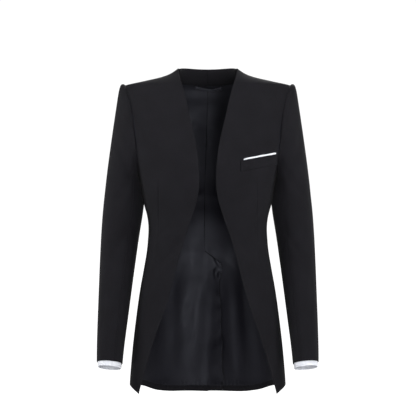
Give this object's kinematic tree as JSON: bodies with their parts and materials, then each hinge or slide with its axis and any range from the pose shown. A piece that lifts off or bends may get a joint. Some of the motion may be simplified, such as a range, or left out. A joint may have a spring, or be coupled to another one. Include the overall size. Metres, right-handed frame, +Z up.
{
  "type": "collarless jacket",
  "caption": "Open-front collarless tailored jacket with long set-in sleeves, white cuff edges, a slanted chest welt and a back vent.",
  "frame": {"origin": "middle of the neck opening, level with the points where the shoulder seams meet the neck", "axes": "+Z up, -Y the way the jacket faces, +X to the wearer's left"},
  "size_m": [0.514, 0.2458, 0.774],
  "materials": {
    "black_crepe": "matt",
    "black_satin_lining": "satin",
    "white_poplin": "matt"
  },
  "bodies": {
    "root": {"front_left": "black_crepe", "front_right": "black_crepe", "side_left": "black_crepe", "side_right": "black_crepe", "back_left": "black_crepe", "back_right": "black_crepe", "top_sleeve_left": "black_crepe", "top_sleeve_right": "black_crepe", "under_sleeve_left": "black_crepe", "under_sleeve_right": "black_crepe", "neck_facing_left": "black_crepe", "neck_facing_right": "black_crepe", "chest_welt": "black_crepe", "lining_left": "black_satin_lining", "lining_right": "black_satin_lining", "hanger_loop": "black_satin_lining", "cuff_left": "white_poplin", "cuff_right": "white_poplin", "pocket_edge": "white_poplin"}
  },
  "joints": []
}
